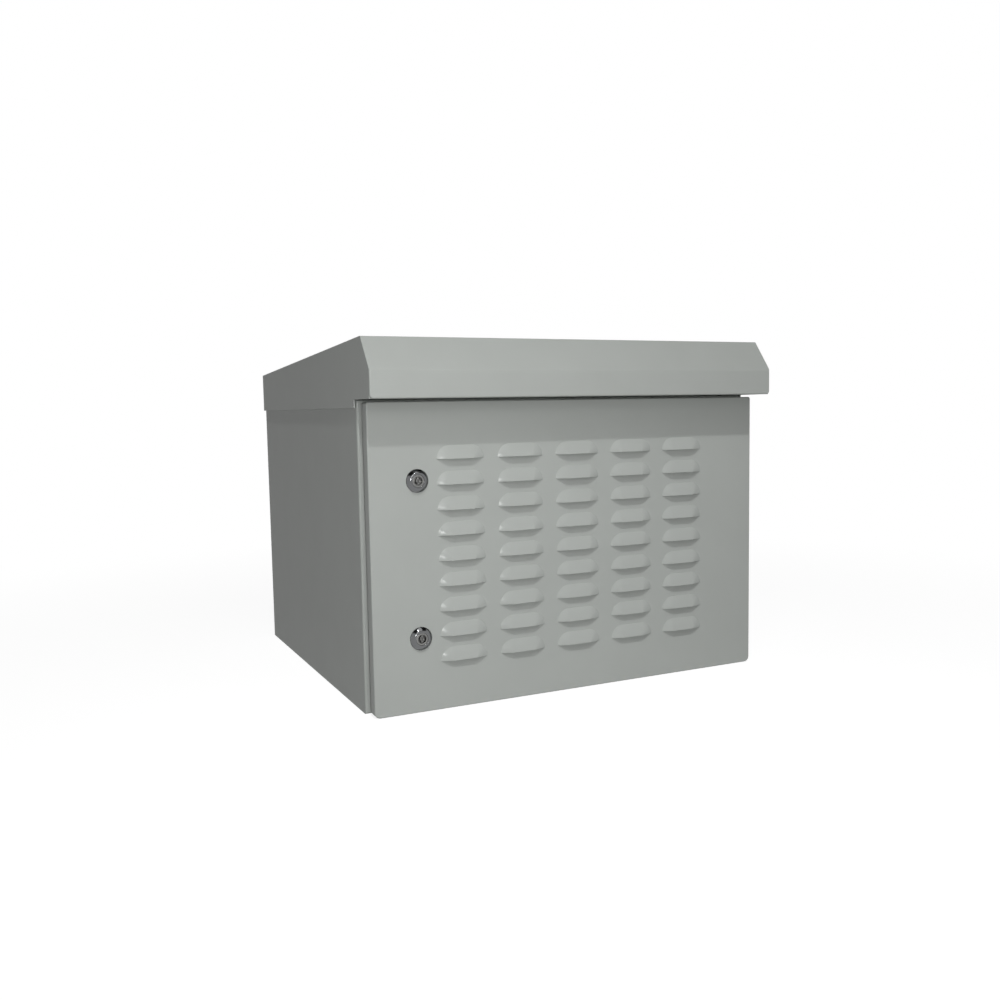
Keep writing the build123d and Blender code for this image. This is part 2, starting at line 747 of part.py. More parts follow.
# Earthing stud on the inside of the door
door_stud_place = (-door_width / 2 + door_stud_from_edge, door_stud_height)
with BuildPart() as door_earth_stud:
    with BuildSketch(Plane.XZ.offset(-door_inner_y)):
        with Locations(door_stud_place):
            Circle(m6_radius)
    extrude(amount=-(earth_stud_length - m8_head))
finish(door_earth_stud, "door_earth_stud")

with BuildPart() as door_earth_nut:
    with BuildSketch(Plane.XZ.offset(-door_inner_y)):
        with Locations(door_stud_place):
            hexagon(m6_flats)
            Circle(m6_radius + thread_clearance, mode=Mode.SUBTRACT)
    extrude(amount=-m6_head)
finish(door_earth_nut, "door_earth_nut")

# Quarter-turn locks. Sections are drawn through the lock axis: radius across, depth along +Y.
bezel_front_y = door_front_y - bezel_projection
insert_front_y = bezel_front_y + insert_recess
insert_shoulder_y = insert_front_y + insert_head
square_front_y = housing_rear_y + running_clearance
cam_rear_y = cam_front_y + cam_thickness
housing_section = [
    (insert_radius + running_clearance, bezel_front_y),
    (bezel_top_radius, bezel_front_y),
    (bezel_radius, door_front_y - bezel_rim),
    (bezel_radius, door_front_y),
    (barrel_radius, door_front_y),
    (barrel_radius, housing_rear_y),
    (insert_shaft_radius + running_clearance, housing_rear_y),
    (insert_shaft_radius + running_clearance, insert_shoulder_y + running_clearance),
    (insert_radius + running_clearance, insert_shoulder_y + running_clearance),
]
insert_section = [
    (0, insert_front_y),
    (insert_radius, insert_front_y),
    (insert_radius, insert_shoulder_y),
    (insert_shaft_radius, insert_shoulder_y),
    (insert_shaft_radius, square_front_y),
    (0, square_front_y),
]
cam_screw_length = m5_radius + cam_thickness + insert_square
for level_name, lock_z in lock_places:
    lock_plane = Plane(origin=(lock_x, 0, lock_z), x_dir=(1, 0, 0), z_dir=(0, 0, 1))
    lock_axis = Axis((lock_x, 0, lock_z), (0, 1, 0))

    with BuildPart() as lock_housing:
        with BuildSketch(lock_plane):
            with BuildLine():
                Polyline(*housing_section, close=True)
            make_face()
        revolve(axis=lock_axis)
        bezel_edges = lock_housing.edges().filter_by(GeomType.CIRCLE).group_by(Axis.Y)[0]
        chamfer(bezel_edges.sort_by(SortBy.RADIUS)[-1], length=bezel_edge_break)
    finish(lock_housing, f"lock_housing_{level_name}")

    with BuildPart() as lock_nut:
        with BuildSketch(Plane.XZ.offset(-door_inner_y)):
            with Locations((lock_x, lock_z)):
                hexagon(lock_nut_flats)
                Circle(barrel_radius + thread_clearance, mode=Mode.SUBTRACT)
        extrude(amount=-lock_nut_height)
    finish(lock_nut, f"lock_nut_{level_name}")

    # The insert has a round socket with a double-bit pin in it, and a square tail for the cam
    with BuildPart() as lock_insert:
        with BuildSketch(lock_plane):
            with BuildLine():
                Polyline(*insert_section, close=True)
            make_face()
        revolve(axis=lock_axis)
        with BuildSketch(Plane.XZ.offset(-insert_front_y)):
            with Locations((lock_x, lock_z)):
                Circle(key_recess_radius)
        extrude(amount=-key_recess_depth, mode=Mode.SUBTRACT)
        with BuildSketch(Plane.XZ.offset(-insert_front_y - key_pin_setback)):
            with Locations((lock_x, lock_z)):
                Circle(key_pin_radius)
                Rectangle(key_bit_width, key_bit_length)
        extrude(amount=-(key_recess_depth - key_pin_setback))
        with BuildSketch(Plane.XZ.offset(-square_front_y)):
            with Locations((lock_x, lock_z)):
                Rectangle(insert_square, insert_square)
        extrude(amount=-(cam_rear_y - square_front_y - running_clearance))
        with BuildSketch(Plane.XZ.offset(-cam_rear_y)):
            with Locations((lock_x, lock_z)):
                Circle(m5_radius + thread_clearance)
        extrude(amount=cam_screw_length, mode=Mode.SUBTRACT)
    finish(lock_insert, f"lock_insert_{level_name}")

    # The cam hangs down when the lock is open and turns a quarter to reach behind the flange
    with BuildPart() as lock_cam:
        with BuildSketch(Plane.XZ.offset(-cam_front_y)):
            with Locations((lock_x, lock_z)):
                Circle(cam_hub_radius)
            with Locations((lock_x, lock_z - cam_reach + cam_tip_radius)):
                Circle(cam_tip_radius)
            make_hull()
            with Locations((lock_x, lock_z)):
                Rectangle(
                    insert_square + 2 * thread_clearance,
                    insert_square + 2 * thread_clearance,
                    mode=Mode.SUBTRACT,
                )
        extrude(amount=-cam_thickness)
    finish(lock_cam, f"lock_cam_{level_name}")

    with BuildPart() as cam_screw:
        with BuildSketch(Plane.XZ.offset(-cam_rear_y)):
            with Locations((lock_x, lock_z)):
                Circle(cam_hub_radius - cam_thickness)
        extrude(amount=-earth_washer_thickness)
        with BuildSketch(Plane.XZ.offset(-cam_rear_y - earth_washer_thickness)):
            with Locations((lock_x, lock_z)):
                hexagon(m5_flats)
        extrude(amount=-m5_head)
        with BuildSketch(Plane.XZ.offset(-cam_rear_y)):
            with Locations((lock_x, lock_z)):
                Circle(m5_radius)
        extrude(amount=cam_screw_length - m5_radius)
    finish(cam_screw, f"lock_cam_screw_{level_name}")

# Concealed hinges in the gutter: a leaf on the body flange, a leaf on the door, and a pin
leaf_x = half_width - gutter_width + bend_radius
knuckle_bore = hinge_pin_radius + running_clearance
knuckle_height = (hinge_height - knuckle_gap) / 2
hinge_places = (("lower", hinge_low_height), ("upper", hinge_high_height))
for level_name, hinge_z in hinge_places:
    with BuildPart() as hinge_body_leaf:
        with BuildSketch(Plane.XY.offset(hinge_z)):
            with Locations((leaf_x, flange_y - hinge_leaf)):
                Rectangle(hinge_foot, hinge_leaf, align=(Align.MIN, Align.MIN))
            with Locations((leaf_x, hinge_y - hinge_leaf / 2)):
                Rectangle(hinge_leaf, flange_y - hinge_y + hinge_leaf / 2, align=(Align.MIN, Align.MIN))
                Rectangle(hinge_x - leaf_x, hinge_leaf, align=(Align.MIN, Align.MIN))
            with Locations((hinge_x, hinge_y)):
                Circle(knuckle_radius)
                Circle(knuckle_bore, mode=Mode.SUBTRACT)
        extrude(amount=knuckle_height)
    finish(hinge_body_leaf, f"hinge_body_leaf_{level_name}")

    with BuildPart() as hinge_door_leaf:
        with BuildSketch(Plane.XY.offset(hinge_z + knuckle_height + knuckle_gap)):
            with Locations((hinge_x, door_inner_y + hinge_leaf / 2)):
                Rectangle(hinge_door_foot, hinge_leaf)
            with Locations((hinge_x, door_inner_y)):
                Rectangle(hinge_leaf, hinge_y - door_inner_y, align=(Align.CENTER, Align.MIN))
            with Locations((hinge_x, hinge_y)):
                Circle(knuckle_radius)
                Circle(knuckle_bore, mode=Mode.SUBTRACT)
        extrude(amount=knuckle_height)
    finish(hinge_door_leaf, f"hinge_door_leaf_{level_name}")

    with BuildPart() as hinge_pin:
        with BuildSketch(Plane.XY.offset(hinge_z)):
            with Locations((hinge_x, hinge_y)):
                Circle(hinge_pin_radius)
        extrude(amount=hinge_height + knuckle_gap)
        with BuildSketch(Plane.XY.offset(hinge_z + hinge_height + knuckle_gap)):
            with Locations((hinge_x, hinge_y)):
                Circle(pin_head_radius)
        extrude(amount=pin_head_height)
    finish(hinge_pin, f"hinge_pin_{level_name}")
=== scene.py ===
"""Looks of the roadside utility cabinet: finishes, fine pieces, studio and camera round its CAD frame."""

import logging
import math
from dataclasses import dataclass, field
from enum import Enum

import bmesh
import bpy
from mathutils import Matrix, Vector


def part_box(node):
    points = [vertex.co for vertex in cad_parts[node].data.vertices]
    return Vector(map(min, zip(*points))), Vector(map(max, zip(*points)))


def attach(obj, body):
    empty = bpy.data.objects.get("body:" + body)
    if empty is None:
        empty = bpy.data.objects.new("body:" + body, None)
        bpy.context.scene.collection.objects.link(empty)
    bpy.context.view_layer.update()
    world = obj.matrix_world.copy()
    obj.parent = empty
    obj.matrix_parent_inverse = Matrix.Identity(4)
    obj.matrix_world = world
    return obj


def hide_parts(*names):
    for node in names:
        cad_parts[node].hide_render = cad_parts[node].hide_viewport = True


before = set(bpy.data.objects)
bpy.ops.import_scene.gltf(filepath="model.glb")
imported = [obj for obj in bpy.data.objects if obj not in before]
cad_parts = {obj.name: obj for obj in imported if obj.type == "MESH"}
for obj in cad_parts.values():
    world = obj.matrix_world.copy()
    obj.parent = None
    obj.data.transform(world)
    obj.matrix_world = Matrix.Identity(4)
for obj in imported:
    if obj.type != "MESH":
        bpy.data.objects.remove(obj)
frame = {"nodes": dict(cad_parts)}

log = logging.getLogger("utility_cabinet")

MM = 0.001
DEPTH_AXIS = Vector((0, 1, 0))
UP_AXIS = Vector((0, 0, 1))
WHITE = (1.0, 1.0, 1.0, 1.0)
NOISE_SPAN = (0.3, 0.7)  # most of a noise's values lie in it
ROUND_PROFILE = 0.5
MERGE_DISTANCE = 0.001 * MM
RIM_TOLERANCE = 0.01 * MM
RIM_ANGLE = math.radians(60)


class Body(Enum):
    """The frame's moving bodies, by what they are."""

    CABINET = "cabinet"
    DOOR = "door"
    LOCK_LOWER = "lock_lower"
    LOCK_UPPER = "lock_upper"


class Slot(Enum):
    """The record's material slots."""

    PAINT = "body_paint"
    CHROME = "lock_chrome"
    ZINC = "zinc_steel"
    INSERT = "lock_insert_metal"
    RUBBER = "rubber"
    FLEECE = "filter_fleece"


def linear_colour(code: str) -> tuple[float, float, float, float]:
    """Turns an sRGB hex colour to the linear colour that a shader takes.

    Args:
        code: The colour, written "#RRGGBB".

    Returns:
        Linear red, green and blue, and an alpha of 1.
    """
    parts = [int(code[i : i + 2], 16) / 255 for i in (1, 3, 5)]
    linear = [p / 12.92 if p <= 0.04045 else ((p + 0.055) / 1.055) ** 2.4 for p in parts]
    return (linear[0], linear[1], linear[2], 1.0)


def add_node(
    tree: bpy.types.NodeTree,
    kind: str,
    settings: dict[str, object] | None = None,
    inputs: dict[str | int, object] | None = None,
) -> bpy.types.Node:
    """Adds a shader node with its settings and its links.

    Args:
        tree: The node tree that the node goes in.
        kind: Blender's name for the kind of node.
        settings: Values of the node's own properties.
        inputs: For each input, by name or number, its value or the output that is linked to it.

    Returns:
        The new node.
    """
    node = tree.nodes.new(kind)
    for name, value in (settings or {}).items():
        setattr(node, name, value)
    for name, value in (inputs or {}).items():
        if isinstance(value, bpy.types.NodeSocket):
            tree.links.new(value, node.inputs[name])
        else:
            node.inputs[name].default_value = value
    return node


def object_place(tree: bpy.types.NodeTree) -> bpy.types.NodeSocket:
    """Adds the piece's own coordinates, in metres."""
    return add_node(tree, "ShaderNodeTexCoord").outputs["Object"]


def noise(
    tree: bpy.types.NodeTree,
    place: bpy.types.NodeSocket,
    size: float,
    detail: float,
    roughness: float = 0.5,
    distortion: float = 0.0,
) -> bpy.types.NodeSocket:
    """Adds a noise whose features are about as large as something real.

    Args:
        tree: The node tree.
        place: The coordinates that it reads.
        size: The size of its features, in metres.
        detail: How many finer layers it has.
        roughness: How strong the finer layers are.
        distortion: How far it wanders.

    Returns:
        The noise's value.
    """
    inputs = {
        "Vector": place,
        "Scale": 1 / size,
        "Detail": detail,
        "Roughness": roughness,
        "Distortion": distortion,
    }
    return add_node(tree, "ShaderNodeTexNoise", inputs=inputs).outputs[0]


def two_tone(
    tree: bpy.types.NodeTree, amount: bpy.types.NodeSocket, first: str, second: str
) -> bpy.types.NodeSocket:
    """Adds a colour between two.

    Args:
        tree: The node tree.
        amount: 0 for the first colour and 1 for the second.
        first: The first colour, written "#RRGGBB".
        second: The second colour.

    Returns:
        The colour.
    """
    inputs = {0: amount, 6: linear_colour(first), 7: linear_colour(second)}
    return add_node(tree, "ShaderNodeMix", {"data_type": "RGBA"}, inputs).outputs[2]


def spread(
    tree: bpy.types.NodeTree,
    value: bpy.types.NodeSocket,
    held: tuple[float, float],
    wanted: tuple[float, float],
) -> bpy.types.NodeSocket:
    """Adds a value that is spread from one range to another.

    Args:
        tree: The node tree.
        value: The value.
        held: The range that the value has.
        wanted: The range that it gets.

    Returns:
        The new value.
    """
    inputs = {
        "Value": value,
        "From Min": held[0],
        "From Max": held[1],
        "To Min": wanted[0],
        "To Max": wanted[1],
    }
    return add_node(tree, "ShaderNodeMapRange", inputs=inputs).outputs[0]


def relief(
    tree: bpy.types.NodeTree,
    height: bpy.types.NodeSocket,
    strength: float,
    depth: float,
    normal: bpy.types.NodeSocket | None = None,
) -> bpy.types.NodeSocket:
    """Adds fine relief to the normal.

    Args:
        tree: The node tree.
        height: The relief's height, from 0 to 1.
        strength: How much of it is used.
        depth: Its depth, in metres.
        normal: The normal that it is laid on, or None for the surface's own.

    Returns:
        The new normal.
    """
    inputs: dict[str | int, object] = {"Strength": strength, "Distance": depth, "Height": height}
    if normal is not None:
        inputs["Normal"] = normal
    return add_node(tree, "ShaderNodeBump", inputs=inputs).outputs[0]


def combine(
    tree: bpy.types.NodeTree,
    operation: str,
    first: bpy.types.NodeSocket,
    second: bpy.types.NodeSocket,
) -> bpy.types.NodeSocket:
    """Adds a value worked out from two others.

    Args:
        tree: The node tree.
        operation: Blender's name for what is done with them.
        first: The first value.
        second: The second value.

    Returns:
        The new value.
    """
    return add_node(tree, "ShaderNodeMath", {"operation": operation}, {0: first, 1: second}).outputs[0]


def rounded_edges(tree: bpy.types.NodeTree, radius: float, samples: int) -> bpy.types.NodeSocket:
    """Adds a normal that is rounded over the piece's edges."""
    return add_node(tree, "ShaderNodeBevel", {"samples": samples}, {"Radius": radius}).outputs[0]


def metal(
    tree: bpy.types.NodeTree,
    colour: bpy.types.NodeSocket | tuple[float, float, float, float],
    roughness: bpy.types.NodeSocket,
    normal: bpy.types.NodeSocket,
) -> bpy.types.Node:
    """Adds a metal's shader.

    Args:
        tree: The node tree.
        colour: Its linear colour.
        roughness: Its roughness.
        normal: Its normal.

    Returns:
        The shader node.
    """
    inputs = {"Base Color": colour, "Metallic": 1.0, "Roughness": roughness, "Normal": normal}
    return add_node(tree, "ShaderNodeBsdfPrincipled", inputs=inputs)


@dataclass(frozen=True)
class Finish:
    """A finish that turns into one Blender material."""

    name: str

    def shade(self, tree: bpy.types.NodeTree) -> bpy.types.Node:
        """Builds the finish's shader in the tree and returns it."""
        raise NotImplementedError

    def material(self) -> bpy.types.Material:
        """Returns the finish's material, made the first time it is asked for."""
        known = bpy.data.materials.get(self.name)
        if known:
            return known
        material = bpy.data.materials.new(self.name)
        material.use_nodes = True
        tree = material.node_tree
        tree.nodes.clear()
        shader = self.shade(tree)
        add_node(tree, "ShaderNodeOutputMaterial", inputs={"Surface": shader.outputs[0]})
        return material


@dataclass(frozen=True)
class PowderCoat(Finish):
    """Polyester powder coat on folded steel.

    It is sprayed as powder and melts to one film, which leaves a satin skin with a soft orange peel,
    draws back a little from sharp edges and rounds them. The pigment is matt, and the clear resin
    that closes over it carries the gloss.
    """

    name: str = "powder_coated_steel"
    colour: str = "#C2C6C2"
    thin_colour: str = "#BCC0BC"
    pigment_roughness: float = 0.6
    pigment_sheen: float = 0.0
    resin_weight: float = 0.28
    resin_roughness: float = 0.16
    resin_variation: float = 0.03
    peel_wave: float = 2.4 * MM
    peel_strength: float = 0.3
    peel_depth: float = 0.02 * MM
    grain: float = 0.7 * MM
    grain_strength: float = 0.3
    grain_depth: float = 0.01 * MM
    film_patch: float = 70 * MM
    edge_radius: float = 0.6 * MM
    edge_samples: int = 6

    def shade(self, tree: bpy.types.NodeTree) -> bpy.types.Node:
        """Builds the coat: film thickness moves tone and gloss, peel and grain move the normal.

        Args:
            tree: The material's node tree.

        Returns:
            The shader node.
        """
        place = object_place(tree)
        film = noise(tree, place, self.film_patch, detail=3.0)
        dull = self.resin_roughness + self.resin_variation
        glossy = self.resin_roughness - self.resin_variation
        gloss = spread(tree, film, NOISE_SPAN, (glossy, dull))
        rounded = rounded_edges(tree, self.edge_radius, self.edge_samples)
        peel = noise(tree, place, self.peel_wave, detail=1.0, roughness=0.4)
        grain = noise(tree, place, self.grain, detail=2.0, roughness=0.6)
        soft = relief(tree, peel, self.peel_strength, self.peel_depth, rounded)
        fine = relief(tree, grain, self.grain_strength, self.grain_depth, soft)
        return add_node(
            tree,
            "ShaderNodeBsdfPrincipled",
            inputs={
                "Base Color": two_tone(tree, film, self.thin_colour, self.colour),
                "Roughness": self.pigment_roughness,
                "Specular IOR Level": self.pigment_sheen,
                "Normal": fine,
                "Coat Weight": self.resin_weight,
                "Coat Roughness": gloss,
                "Coat Normal": soft,
            },
        )


@dataclass(frozen=True)
class BrightChrome(Finish):
    """Chrome over a polished zinc casting: a mirror with faint waves and wipe marks, its colour darkened
    as a painted dark reflection.
    """

    name: str = "chromed_casting"
    # Darker than bright chrome: a painted dark reflection, standing in for dark surroundings seen in the
    # mirror.
    colour: str = "#6C6D6E"
    wave: float = 5 * MM
    wave_strength: float = 0.5
    wave_depth: float = 0.12 * MM
    wipe: float = 1.6 * MM
    wiped: tuple[float, float] = (0.4, 0.8)
    roughness: tuple[float, float] = (0.05, 0.16)

    def shade(self, tree: bpy.types.NodeTree) -> bpy.types.Node:
        """Builds the chrome: the polish leaves slow waves, and wiping dulls it in streaks.

        Args:
            tree: The material's node tree.

        Returns:
            The shader node.
        """
        place = object_place(tree)
        wave = noise(tree, place, self.wave, detail=1.0)
        wipe = noise(tree, place, self.wipe, detail=4.0, distortion=1.5)
        dulling = spread(tree, wipe, self.wiped, self.roughness)
        waves = relief(tree, wave, self.wave_strength, self.wave_depth)
        return metal(tree, linear_colour(self.colour), dulling, waves)


@dataclass(frozen=True)
class DullNickel(Finish):
    """Nickel on a rough zinc casting: grey, half gloss, with the casting's fine grain in it."""

    name: str = "nickelled_casting"
    colour: str = "#8B8B89"
    worn_colour: str = "#6F6F6E"
    cast_grain: float = 0.5 * MM
    cast_strength: float = 0.4
    cast_depth: float = 0.05 * MM
    patch: float = 4 * MM
    roughness: tuple[float, float] = (0.24, 0.4)

    def shade(self, tree: bpy.types.NodeTree) -> bpy.types.Node:
        """Builds the nickel: patches move its tone and gloss, and cast grain moves the normal.

        Args:
            tree: The material's node tree.

        Returns:
            The shader node.
        """
        place = object_place(tree)
        patch = noise(tree, place, self.patch, detail=4.0)
        tone = two_tone(tree, patch, self.worn_colour, self.colour)
        gloss = spread(tree, patch, NOISE_SPAN, self.roughness)
        grain = noise(tree, place, self.cast_grain, detail=2.0)
        return metal(tree, tone, gloss, relief(tree, grain, self.cast_strength, self.cast_depth))


@dataclass(frozen=True)
class ZincPlate(Finish):
    """Bright zinc plate with a blue passivate, as on small steel hardware: satin, slightly mottled."""

    name: str = "zinc_plated_steel"
    colour: str = "#C3C8CC"
    passivate_colour: str = "#AFB3B0"
    mottle: float = 3 * MM
    roughness: tuple[float, float] = (0.26, 0.42)
    edge_radius: float = 0.3 * MM
    edge_samples: int = 4

    def shade(self, tree: bpy.types.NodeTree) -> bpy.types.Node:
        """Builds the plate: the passivate's mottle moves tone and gloss, and small edges are rounded.

        Args:
            tree: The material's node tree.

        Returns:
            The shader node.
        """
        mottle = noise(tree, object_place(tree), self.mottle, detail=5.0)
        tone = two_tone(tree, mottle, self.passivate_colour, self.colour)
        gloss = spread(tree, mottle, NOISE_SPAN, self.roughness)
        return metal(tree, tone, gloss, rounded_edges(tree, self.edge_radius, self.edge_samples))


@dataclass(frozen=True)
class GalvanisedSheet(Finish):
    """Hot-dip galvanised sheet: grey zinc frozen in flat crystals, each with its own tone and gloss."""

    name: str = "galvanised_sheet"
    colour: str = "#B4B9BC"
    dark_colour: str = "#9CA2A5"
    crystal: float = 7 * MM
    crystal_tones: tuple[float, float] = (0.2, 0.8)
    roughness: tuple[float, float] = (0.34, 0.5)
    edge_radius: float = 0.4 * MM
    edge_samples: int = 4

    def shade(self, tree: bpy.types.NodeTree) -> bpy.types.Node:
        """Builds the sheet: each crystal takes one tone and one gloss.

        Args:
            tree: The material's node tree.

        Returns:
            The shader node.
        """
        inputs = {"Vector": object_place(tree), "Scale": 1 / self.crystal}
        crystal = add_node(tree, "ShaderNodeTexVoronoi", inputs=inputs).outputs["Color"]
        shade = add_node(tree, "ShaderNodeRGBToBW", inputs={"Color": crystal}).outputs[0]
        tone = two_tone(tree, shade, self.dark_colour, self.colour)
        gloss = spread(tree, shade, self.crystal_tones, self.roughness)
        return metal(tree, tone, gloss, rounded_edges(tree, self.edge_radius, self.edge_samples))


@dataclass(frozen=True)
class SoftPolymer(Finish):
    """Rubber or foam, moulded or foamed in place: matt, dark, with its cells or its bloom on the skin."""

    name: str = "moulded_rubber"
    colour: str = "#242524"
    bloom_colour: str = "#343634"
    roughness: float = 0.62
    cell: float = 1.2 * MM
    cell_strength: float = 0.7
    cell_depth: float = 0.03 * MM
    bloom_cells: float = 10.0

    def shade(self, tree: bpy.types.NodeTree) -> bpy.types.Node:
        """Builds the polymer: bloom moves the tone, and cells move the normal.

        Args:
            tree: The material's node tree.

        Returns:
            The shader node.
        """
        place = object_place(tree)
        bloom = noise(tree, place, self.bloom_cells * self.cell, detail=4.0)
        tone = two_tone(tree, bloom, self.colour, self.bloom_colour)
        inputs = {"Vector": place, "Scale": 1 / self.cell}
        cells = add_node(tree, "ShaderNodeTexVoronoi", inputs=inputs).outputs["Distance"]
        skin = relief(tree, cells, self.cell_strength, self.cell_depth)
        inputs = {"Base Color": tone, "Roughness": self.roughness, "Normal": skin}
        return add_node(tree, "ShaderNodeBsdfPrincipled", inputs=inputs)


@dataclass(frozen=True)
class FilterFleece(Finish):
    """Bonded polyester fleece: crossed white fibres that scatter light, with painted shade between them
    and a little grey dust.

    Real fibres are 0.03 mm thick. They are drawn 0.5 mm wide, so that they show in the render.
    """

    name: str = "bonded_fleece"
    colour: str = "#DEDDD5"
    shadow_colour: str = "#A9A8A1"
    fibre: float = 0.5 * MM
    fibre_turns: tuple[float, float] = (0.5, -0.9)
    fibre_stretch: float = 0.12
    fibre_wander: float = 0.6
    fibre_strength: float = 0.9
    fibre_depth: float = 0.4 * MM
    tuft: float = 9 * MM
    shade_and_dust_span: tuple[float, float] = (0.15, 0.4)
    roughness: float = 0.95
    fuzz: float = 0.3
    fuzz_roughness: float = 0.5

    def shade(self, tree: bpy.types.NodeTree) -> bpy.types.Node:
        """Builds the fleece: two crossed sets of stretched noise for fibres, darker between them as
        painted shade, and slower tufts of dust.

        Args:
            tree: The material's node tree.

        Returns:
            The shader node.
        """
        place = object_place(tree)
        strands = []
        for turn in self.fibre_turns:
            stretch = (1.0, 1.0, self.fibre_stretch)
            inputs = {"Vector": place, "Rotation": (0.0, turn, 0.0), "Scale": stretch}
            lay = add_node(tree, "ShaderNodeMapping", inputs=inputs).outputs[0]
            strands.append(noise(tree, lay, self.fibre, detail=2.0, distortion=self.fibre_wander))
        felt = combine(tree, "MAXIMUM", strands[0], strands[1])
        tuft = noise(tree, place, self.tuft, detail=3.0)
        # Darker where the fibres thin out, as painted shade between fibres, and in slow tufts, as dust.
        depth = combine(tree, "MULTIPLY", felt, tuft)
        whiteness = spread(tree, depth, self.shade_and_dust_span, (0.0, 1.0))
        return add_node(
            tree,
            "ShaderNodeBsdfPrincipled",
            inputs={
                "Base Color": two_tone(tree, whiteness, self.shadow_colour, self.colour),
                "Roughness": self.roughness,
                "Sheen Weight": self.fuzz,
                "Sheen Roughness": self.fuzz_roughness,
                "Normal": relief(tree, felt, self.fibre_strength, self.fibre_depth),
            },
        )


POWDER_COAT = PowderCoat()
CHROME = BrightChrome()
NICKEL = DullNickel()
ZINC = ZincPlate()
GALVANISED = GalvanisedSheet()
RUBBER = SoftPolymer()
FOAM = SoftPolymer(
    name="foamed_seal",
    colour="#2C2D2D",
    bloom_colour="#3B3C3C",
    roughness=0.88,
    cell=0.8 * MM,
    cell_depth=0.12 * MM,
)
FLEECE = FilterFleece()


def round_off(
    shape: bmesh.types.BMesh,
    parts: list[bmesh.types.BMEdge] | list[bmesh.types.BMVert],
    radius: float,
    segments: int,
    affect: str = "EDGES",
) -> None:
    """Rounds edges or corners of a shape.

    Args:
        shape: The shape.
        parts: The edges or the vertices.
        radius: How far the rounding reaches.
        segments: How many faces or edges it is made of.
        affect: "EDGES" or "VERTICES".
    """
    bmesh.ops.bevel(
        shape,
        geom=parts,
        offset=radius,
        segments=segments,
        profile=ROUND_PROFILE,
        affect=affect,
        material=-1,
    )


def finished_piece(
    shape: bmesh.types.BMesh,
    name: str,
    finish: Finish,
    body: Body,
    sharp_angle: float = 35.0,
) -> bpy.types.Object:
    """Turns a bmesh into a dressed piece that rides on a body.

    Args:
        shape: The shape, with its place in its vertices. It is freed.
        name: The piece's name.
        finish: Its finish.
        body: The body that it moves with.
        sharp_angle: Edges that turn by more than this many degrees stay sharp.

    Returns:
        The new object.
    """
    bmesh.ops.recalc_face_normals(shape, faces=shape.faces[:])
    mesh = bpy.data.meshes.new(name)
    shape.to_mesh(mesh)
    shape.free()
    mesh.shade_smooth()
    mesh.set_sharp_from_angle(angle=math.radians(sharp_angle))
    mesh.materials.append(finish.material())
    piece = bpy.data.objects.new(name, mesh)
    bpy.context.scene.collection.objects.link(piece)
    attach(piece, body.value)
    log.info("%s: %d faces, on %s", name, len(mesh.polygons), body.value)
    return piece


@dataclass(frozen=True)
class Turned:
    """A section that is turned about an axis, with its sharp rims rounded afterwards.

    Points are pairs of radius and height along the axis, from the axis's origin.
    """

    section: tuple[tuple[float, float], ...]
    origin: Vector
    axis: Vector
    steps: int = 72
    closed: bool = False
    rim_segments: int = 4

    def spin_into(self, shape: bmesh.types.BMesh, rims: dict[tuple[float, float], float]) -> None:
        """Spins the section and rounds the named rims.

        Args:
            shape: The bmesh that the turned form is added to.
            rims: For each rim, given as its point in the section, the radius it is rounded by.
        """
        across = self.axis.orthogonal().normalized()
        row = [
            shape.verts.new(self.origin + across * radius + self.axis * height)
            for radius, height in self.section
        ]
        pairs = list(zip(row, row[1:]))
        if self.closed:
            pairs.append((row[-1], row[0]))
        line = [shape.edges.new(pair) for pair in pairs]
        bmesh.ops.spin(
            shape,
            geom=row + line,
            cent=self.origin,
            axis=self.axis,
            angle=math.tau,
            steps=self.steps,
            use_merge=True,
        )
        bmesh.ops.remove_doubles(shape, verts=shape.verts[:], dist=MERGE_DISTANCE)
        for (radius, height), rounding in rims.items():
            rim = [
                edge
                for edge in shape.edges
                if all(self._on_rim(vertex, radius, height) for vertex in edge.verts)
            ]
            round_off(shape, rim, rounding, self.rim_segments)

    def _on_rim(self, vertex: bmesh.types.BMVert, radius: float, height: float) -> bool:
        """True where the vertex lies on the turned rim of that radius and height."""
        offset = vertex.co - self.origin
        along = offset.dot(self.axis)
        reach = (offset - self.axis * along).length
        return abs(along - height) < RIM_TOLERANCE and abs(reach - radius) < RIM_TOLERANCE


